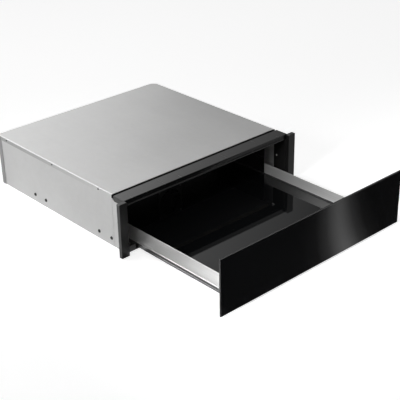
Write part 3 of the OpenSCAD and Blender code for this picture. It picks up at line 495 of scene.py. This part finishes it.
def screwTree(look=screwLook):
    tree, inp = growTree("crossedScrews", [
        ("Head Radius", "Float", 0.0024), ("Head Height", "Float", 0.0012), ("Recess", "Float", 0.0007),
        ("Shank Radius", "Float", look["shank"]), ("Shank Length", "Float", 0.004),
        ("Seed", "Int", look["seed"]), ("Finish", "Material", None)])
    grid = addNode(tree, "GeometryNodeMeshGrid", {"Size X": 2.0, "Size Y": 2.0, "Vertices X": look["grid"],
                                                  "Vertices Y": look["grid"]})
    axes = addNode(tree, "ShaderNodeSeparateXYZ")
    tree.links.new(addNode(tree, "GeometryNodeInputPosition").outputs[0], axes.inputs[0])
    x, y = axes.outputs["X"], axes.outputs["Y"]

    def rounded(a, b):  # square grid drawn into a disc
        half = calc(tree, "MULTIPLY_ADD", calc(tree, "MULTIPLY", b, b), -0.5, 1.0)
        return calc(tree, "MULTIPLY", a, calc(tree, "SQRT", half))

    def arm(a, b):
        width, length = look["crossWidth"], look["crossReach"]
        across = remap(tree, calc(tree, "ABSOLUTE", a), 1.0, 0.0, width, width + look["soft"])
        along = remap(tree, calc(tree, "ABSOLUTE", b), 1.0, 0.0, length, length + look["soft"])
        return calc(tree, "MULTIPLY", across, along)

    u, v = rounded(x, y), rounded(y, x)
    reach = calc(tree, "ADD", calc(tree, "MULTIPLY", u, u), calc(tree, "MULTIPLY", v, v))
    dome = calc(tree, "SUBTRACT", 1.0, calc(tree, "POWER", reach, look["domePower"]))
    cross = calc(tree, "MAXIMUM", arm(x, y), arm(y, x))
    high = calc(tree, "MULTIPLY", dome, inp["Head Height"])
    height = calc(tree, "SUBTRACT", high, calc(tree, "MULTIPLY", cross, inp["Recess"]))
    place = addNode(tree, "ShaderNodeCombineXYZ")
    join(tree, place, {"X": calc(tree, "MULTIPLY", u, inp["Head Radius"]),
                       "Y": calc(tree, "MULTIPLY", v, inp["Head Radius"]), "Z": height})
    head = join(tree, addNode(tree, "GeometryNodeSetPosition"),
                {"Geometry": grid.outputs["Mesh"], "Position": place.outputs[0]})
    shank = addNode(tree, "GeometryNodeMeshCylinder", {"Vertices": look["shankSides"]})
    join(tree, shank, {"Radius": inp["Shank Radius"], "Depth": inp["Shank Length"]})
    under = addNode(tree, "ShaderNodeCombineXYZ")
    join(tree, under, {"Z": calc(tree, "MULTIPLY", inp["Shank Length"], -0.5)})
    lowered = join(tree, addNode(tree, "GeometryNodeTransform"),
                   {"Geometry": shank.outputs["Mesh"], "Translation": under.outputs[0]})
    screw = addNode(tree, "GeometryNodeJoinGeometry")
    tree.links.new(head.outputs[0], screw.inputs[0])
    tree.links.new(lowered.outputs[0], screw.inputs[0])
    smooth = join(tree, addNode(tree, "GeometryNodeSetShadeSmooth"), {"Geometry": screw.outputs[0]})
    aim = addNode(tree, "GeometryNodeInputNamedAttribute", {"Name": "aim"}, data_type="FLOAT_VECTOR")
    stand = join(tree, addNode(tree, "FunctionNodeAlignRotationToVector", axis="Z"),
                 {"Vector": aim.outputs["Attribute"]})
    placed = join(tree, addNode(tree, "GeometryNodeInstanceOnPoints"),
                  {"Points": inp["Geometry"], "Instance": smooth.outputs[0], "Rotation": stand.outputs[0]})
    chance = addNode(tree, "FunctionNodeRandomValue", data_type="FLOAT")
    chance.inputs[2].default_value, chance.inputs[3].default_value = 0.0, pi / 2
    join(tree, chance, {"Seed": inp["Seed"]})
    twist = addNode(tree, "ShaderNodeCombineXYZ")
    join(tree, twist, {"Z": chance.outputs[1]})
    turned = join(tree, addNode(tree, "GeometryNodeRotateInstances", {"Local Space": True}),
                  {"Instances": placed.outputs[0], "Rotation": twist.outputs[0]})
    return endTree(tree, turned.outputs[0], inp["Finish"])


crossedScrews = screwTree()
# heads, with the height that the CAD node's own heads have, and the way each one faces, with x outwards
smallHead = {"radius": 0.0024, "height": 0.0012, "cadHead": 0.0012}
railHead = {"radius": 0.0046, "height": 0.0022, "cadHead": 0.0018}
screwRows = {
    "cover_screws": {**smallHead, "length": 0.0046, "aims": [(1, 0, 0)] * 6},
    "rail_screws": {**railHead, "length": 0.0048, "aims": [(1, 0, 0)] * 8},
    "frame_screws": {**smallHead, "length": 0.0024, "aims": [(-1, 0, 0)] * 2},
    "rear_screws": {**smallHead, "length": 0.0044, "aims": [(0, 1, 0)] * 6},
    "drawer_screws": {**smallHead, "length": 0.0015, "aims": [(0, -1, 0)] * 4 + [(0, 1, 0)] * 4},
}


# corners of the box round each loose part of a mesh, in the mesh's order
def looseBoxes(mesh, weld=edgeSetup["weld"]):
    bm = bmesh.new()
    bm.from_mesh(mesh)
    bmesh.ops.remove_doubles(bm, verts=bm.verts, dist=weld)
    seen, found = set(), []
    for vert in bm.verts:
        if vert in seen:
            continue
        seen.add(vert)
        part = [vert]
        for known in part:  # the list grows as it is read
            for edge in known.link_edges:
                other = edge.other_vert(known)
                if other not in seen:
                    seen.add(other)
                    part.append(other)
        found.append(boxOf(known.co for known in part))
    bm.free()
    return found


# seats under the heads of a node's screws, each with the way its head faces
def screwSpots(node, row):
    spots = []
    for (low, high), (x, y, z) in zip(looseBoxes(nodes[node].data), row["aims"], strict=True):
        aim = Vector((x if low.x > 0 else -x, y, z))
        reach = abs(aim.dot(high - low)) / 2 - row["cadHead"]
        spots.append(((low + high) / 2 + aim * reach, aim))
    return spots


def setScrews(node, row):
    spots = screwSpots(node, row)
    mesh = bpy.data.meshes.new(node + "Crossed")
    mesh.from_pydata([place for place, aim in spots], [], [])
    aims = mesh.attributes.new("aim", "FLOAT_VECTOR", "POINT")
    aims.data.foreach_set("vector", [part for place, aim in spots for part in aim])
    obj = growPiece(node + "Crossed", mesh, crossedScrews, {
        "Head Radius": row["radius"], "Head Height": row["height"],
        "Recess": row["height"] * screwLook["recessShare"], "Shank Length": row["length"],
        "Seed": screwLook["seed"], "Finish": finishOf(node)})
    settle(obj, node)


for node, row in screwRows.items():
    setScrews(node, row)
print("screws set:", sum(len(row["aims"]) for row in screwRows.values()))


# low walls: the rolled section swept along the drawer
wallShape = {"inside": 0.2328, "outside": 0.2340, "height": 0.0380, "hemWidth": 0.0016, "hemHeight": 0.0030,
             "lipWidth": 0.0018, "lipHeight": 0.0024, "bead": 0.0005, "beadHeight": 0.0108, "steps": 10}
sweepSetup = {"weld": 1e-6, "sharp": 32.0}


def arcPoints(x, z, r, start, end, steps):
    angles = [start + (end - start) * i / steps for i in range(steps + 1)]
    return [(x + r * cos(angle), z + r * sin(angle)) for angle in angles]


def wallOutline(bottom, look):
    n, hem, lip, top = look["steps"], look["hemWidth"] / 2, look["lipHeight"] / 2, bottom + look["height"]
    inside, outside, bead = look["inside"], look["outside"], bottom + look["beadHeight"]
    points = [(inside, bottom)]
    points += arcPoints(outside + look["lipWidth"] - lip, bottom + lip, lip, -pi / 2, pi / 2, n)
    points += [(outside, bottom + 2 * lip), (outside, top - hem)]
    points += arcPoints(outside - hem, top - hem, hem, 0.0, pi, n)
    points += [(outside - 2 * hem, top - look["hemHeight"]), (inside, top - look["hemHeight"])]
    points += arcPoints(inside, bead, look["bead"], pi / 2, 3 * pi / 2, n)
    return points


def sweepTree():
    tree, inp = growTree("sweptSheet", [("Along", "Vector", None), ("Length", "Float", 0.4),
                                        ("Finish", "Material", None)])
    path = addNode(tree, "ShaderNodeVectorMath", operation="SCALE")
    join(tree, path, {0: inp["Along"], "Scale": inp["Length"]})
    drawn = join(tree, addNode(tree, "GeometryNodeExtrudeMesh", {"Individual": False}, mode="FACES"),
                 {"Mesh": inp["Geometry"], "Offset": path.outputs["Vector"]})
    drawn.inputs["Offset Scale"].default_value = 1.0
    whole = addNode(tree, "GeometryNodeJoinGeometry")
    back = join(tree, addNode(tree, "GeometryNodeFlipFaces"), {"Mesh": inp["Geometry"]})
    tree.links.new(drawn.outputs["Mesh"], whole.inputs[0])
    tree.links.new(back.outputs["Mesh"], whole.inputs[0])
    merged = join(tree, addNode(tree, "GeometryNodeMergeByDistance"), {"Geometry": whole.outputs[0]})
    merged.inputs["Distance"].default_value = sweepSetup["weld"]
    return endTree(tree, merged.outputs[0], inp["Finish"])


sweptSheet = sweepTree()


def sweep(name, points, along, length, finish):
    bm = bmesh.new()
    face = bm.faces.new([bm.verts.new(point) for point in points])
    face.normal_update()
    if face.normal.dot(Vector(along)) > 0:
        face.normal_flip()
    mesh = bpy.data.meshes.new(name)
    bm.to_mesh(mesh)
    bm.free()
    obj = growPiece(name, mesh, sweptSheet, {"Along": along, "Length": length, "Finish": finish})
    bm = bmesh.new()
    bm.from_mesh(obj.data)
    bmesh.ops.recalc_face_normals(bm, faces=bm.faces)
    for face in bm.faces:
        face.smooth = True
    bm.to_mesh(obj.data)
    bm.free()
    obj.data.set_sharp_from_angle(angle=radians(sweepSetup["sharp"]))
    return obj


def setWall(side, node, look=wallShape):
    low, high = boxes[node]
    outline = [(side * x, low.y, z) for x, z in wallOutline(low.z, look)]
    obj = sweep(node + "Swept", outline, (0.0, 1.0, 0.0), high.y - low.y, finishOf(node))
    settle(obj, node)


setWall(-1, "left_wall")
setWall(1, "right_wall")
print("walls swept")


# rolled lip along the lower front edge of the top bar
barLip = {"shorter": 0.0065, "sunk": 0.0008, "radius": 0.0009, "steps": 12}


def setBarLip(look=barLip):
    low, high = boxes["frame_top_bar"]
    half, front, bottom = high.x - look["shorter"], low.y + look["sunk"], low.z + look["radius"]
    circle = arcPoints(front, bottom, look["radius"], 0.0, 2 * pi, look["steps"])[:-1]
    outline = [(-half, y, z) for y, z in circle]
    obj = sweep("barLip", outline, (1.0, 0.0, 0.0), 2 * half, finishOf("frame_top_bar"))
    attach(obj, bodyByNode["frame_top_bar"])


setBarLip()
print("bar lip set")


# studio: camera (fitted to the panel's corners), world, floor, cards and lamps
cameraSetup = {"place": (-1.4701, -1.8563, 1.1669), "azimuth": -42.008, "elevation": 27.366, "roll": -1.135,
               "lens": 88.865, "sensor": 36.0}


def addCamera(setup):
    a, e, r = (radians(setup[key]) for key in ("azimuth", "elevation", "roll"))
    back = Vector((sin(a) * cos(e), -cos(a) * cos(e), sin(e)))
    right = Vector((cos(a), sin(a), 0.0))
    up = back.cross(right)
    rolledRight = right * cos(r) + up * sin(r)
    rolledUp = up * cos(r) - right * sin(r)
    data = bpy.data.cameras.new("camera")
    data.lens, data.sensor_width = setup["lens"], setup["sensor"]
    cam = addObject("camera", data)
    turn = Matrix((rolledRight, rolledUp, back)).transposed().to_4x4()
    cam.matrix_world = Matrix.Translation(setup["place"]) @ turn
    bpy.context.scene.camera = cam


# rays that show the white background: camera, mirror and see-through rays
def whiteRays(tree):
    path = addNode(tree, "ShaderNodeLightPath")
    seen = calc(tree, "MAXIMUM", path.outputs["Is Camera Ray"], path.outputs["Is Glossy Ray"])
    return calc(tree, "MAXIMUM", seen, path.outputs["Is Transmission Ray"])


worldSetup = {"background": 1.0, "ambient": 0.15}


def addWorld(setup):
    world = bpy.data.worlds.new("studio")
    bpy.context.scene.world = world
    world.use_nodes = True
    tree = world.node_tree
    tree.nodes.clear()
    soft = addNode(tree, "ShaderNodeBackground", {"Color": (1, 1, 1, 1), "Strength": setup["ambient"]})
    white = addNode(tree, "ShaderNodeBackground", {"Color": (1, 1, 1, 1), "Strength": setup["background"]})
    pick = addNode(tree, "ShaderNodeMixShader")
    join(tree, pick, {0: whiteRays(tree), 1: soft.outputs[0], 2: white.outputs[0]})
    join(tree, addNode(tree, "ShaderNodeOutputWorld"), {"Surface": pick.outputs[0]})


floorSetup = {"size": 6.0, "color": 0.85, "glow": 0.75}


def addFloor(setup):
    mesh = bpy.data.meshes.new("studioFloor")
    h = setup["size"] / 2
    mesh.from_pydata([(-h, -h, 0), (h, -h, 0), (h, h, 0), (-h, h, 0)], [], [(0, 1, 2, 3)])
    floor = addObject("studioFloor", mesh)
    mat, tree = emptyMaterial("floorWhite")
    paper = addNode(tree, "ShaderNodeBsdfDiffuse", {"Color": (*shade(setup["color"]), 1)})
    glow = addNode(tree, "ShaderNodeEmission")
    both = addNode(tree, "ShaderNodeAddShader")
    join(tree, glow, {"Strength": calc(tree, "MULTIPLY", whiteRays(tree), setup["glow"])})
    join(tree, both, {0: paper.outputs[0], 1: glow.outputs[0]})
    join(tree, addNode(tree, "ShaderNodeOutputMaterial"), {"Surface": both.outputs[0]})
    mesh.materials.append(mat)


# cards that only polished faces mirror: the corners along one side, then the other side's on the way back;
# their tone runs with the compass angle around a point, or along Y
brightestTone = 4.0
cards = {
    "frontCard": {"corners": [(-0.75, -0.612, 0.0006), (1.9, -0.612, 0.0006), (1.9, -2.6, 0.0006),
                              (-0.75, -2.6, 0.0006)],
                  "around": (-1.207, 0.682), "span": (120.0, 150.0),
                  "tones": [(120, 0.03), (131.6, 0.03), (132.6, 0.07), (133.4, 0.25), (134.2, 0.72),
                            (134.6, 0.82), (135.1, 0.62), (135.7, 0.28), (136.6, 0.08), (138, 0.04),
                            (150, 0.04)]},
    "rightCard": {"corners": [(0.30, -0.2, 0.0007), (1.2, -0.2, 0.0007), (1.2, -0.611, 0.0007),
                              (0.30, -0.611, 0.0007)],
                  "span": (-0.611, -0.2), "tones": [(-0.611, 0.33), (-0.2, 0.33)]},
    # painted shadow: a dim card on the floor under the drawer, which polished faces mirror in place of the
    # drawer's shadow
    "drawerShadowCard": {"corners": [(-0.26, -0.28, 0.0008), (0.27, -0.28, 0.0008), (0.27, -0.60, 0.0008),
                              (-0.26, -0.60, 0.0008)],
                  "span": (-0.60, -0.28), "tones": [(-0.60, 0.12), (-0.28, 0.05)]},
    "leftCard": {"corners": [(-0.95, -0.27, 0.0006), (-0.27, -0.27, 0.0006), (-0.27, -0.80, 0.0006),
                             (-0.95, -0.80, 0.0006)],
                 "span": (-0.8, -0.27),
                 "tones": [(-0.8, 0.0), (-0.62, 0.2), (-0.56, 1.7), (-0.50, 1.7), (-0.44, 1.0), (-0.40, 0.7),
                           (-0.35, 0.0), (-0.27, 0.0)]},
    "highCard": {"corners": [(-2.6, -0.9, 0.1), (-2.6, 0.4, 0.1), (-2.1, 2.1, 0.1), (-2.1, 2.1, 2.4),
                             (-2.6, 0.4, 2.4), (-2.6, -0.9, 2.4)],
                 "span": (-0.9, 2.1), "tones": [(-0.9, 2.3), (2.1, 2.3)]},
    "backCard": {"corners": [(-2.1, 2.1, 0.0), (-0.8, 2.9, 0.0), (0.8, 2.9, 0.0), (2.1, 2.1, 0.0),
                             (2.9, 0.5, 0.0), (2.9, 0.5, 3.2), (2.1, 2.1, 3.2), (0.8, 2.9, 3.2),
                             (-0.8, 2.9, 3.2), (-2.1, 2.1, 3.2)],
                 "around": (-1.4701, -1.8563), "span": (-20.0, 75.0),
                 "tones": [(-20, 2.0), (3, 2.0), (12, 2.45), (22, 2.1), (29, 1.75), (35, 1.5), (38, 1.1),
                           (42, 0.6), (50, 0.2), (56, 0.02), (75, 0.0)]},
}


def cardTone(tree, look):
    axes = addNode(tree, "ShaderNodeSeparateXYZ")
    tree.links.new(objectCoords(tree), axes.inputs[0])
    place = axes.outputs["Y"]
    if "around" in look:
        x = calc(tree, "SUBTRACT", axes.outputs["X"], look["around"][0])
        y = calc(tree, "SUBTRACT", axes.outputs["Y"], look["around"][1])
        place = calc(tree, "MULTIPLY", calc(tree, "ARCTAN2", x, y), 180 / pi)
    low, high = look["span"]
    share = remap(tree, place, 0.0, 1.0, low, high)
    curve = addNode(tree, "ShaderNodeFloatCurve")
    line = curve.mapping.curves[0]
    while len(line.points) < len(look["tones"]):
        line.points.new(0.5, 0.5)
    for point, (where, level) in zip(line.points, look["tones"]):
        point.location = ((where - low) / (high - low), level / brightestTone)
        point.handle_type = "VECTOR"
    curve.mapping.update()
    tree.links.new(share, curve.inputs["Value"])
    return calc(tree, "MULTIPLY", curve.outputs["Value"], brightestTone)


def addCard(name, look):
    mesh = bpy.data.meshes.new(name)
    n = len(look["corners"])
    mesh.from_pydata(look["corners"], [], [(i, i + 1, n - 2 - i, n - 1 - i) for i in range(n // 2 - 1)])
    card = addObject(name, mesh)
    mat, tree = emptyMaterial(name)
    glow = addNode(tree, "ShaderNodeEmission")
    join(tree, glow, {"Strength": cardTone(tree, look)})
    join(tree, addNode(tree, "ShaderNodeOutputMaterial"), {"Surface": glow.outputs[0]})
    mesh.materials.append(mat)
    card.visible_camera = card.visible_diffuse = card.visible_shadow = False
    card.visible_transmission = card.visible_volume_scatter = False


lamps = {
    "backSoft": {"place": (-0.6, 0.9, 2.3), "target": (-0.05, -0.2, 0.08), "size": 1.8, "power": 8.5,
                 "spread": 180.0},
    "leftBack": {"place": (-1.3, 1.2, 0.75), "target": (-0.25, -0.2, 0.08), "size": 0.5, "power": 0.9,
                 "spread": 60.0},
    "drawerSpot": {"place": (-1.2, -0.7, 0.8), "target": (0.15, -0.66, 0.04), "size": 0.3, "power": 1.05,
                   "spread": 36.0},
}


def addLamp(name, look):
    data = bpy.data.lights.new(name, "AREA")
    data.shape = "SQUARE"
    data.size, data.energy, data.spread = look["size"], look["power"], radians(look["spread"])
    lamp = addObject(name, data)
    lamp.location = look["place"]
    direction = Vector(look["target"]) - Vector(look["place"])
    lamp.rotation_euler = direction.to_track_quat("-Z", "Y").to_euler()
    lamp.visible_camera = False


addCamera(cameraSetup)
addWorld(worldSetup)
addFloor(floorSetup)
for name, look in cards.items():
    addCard(name, look)
for name, look in lamps.items():
    addLamp(name, look)

bpy.context.scene.view_settings.view_transform = "Standard"
print("studio ready")
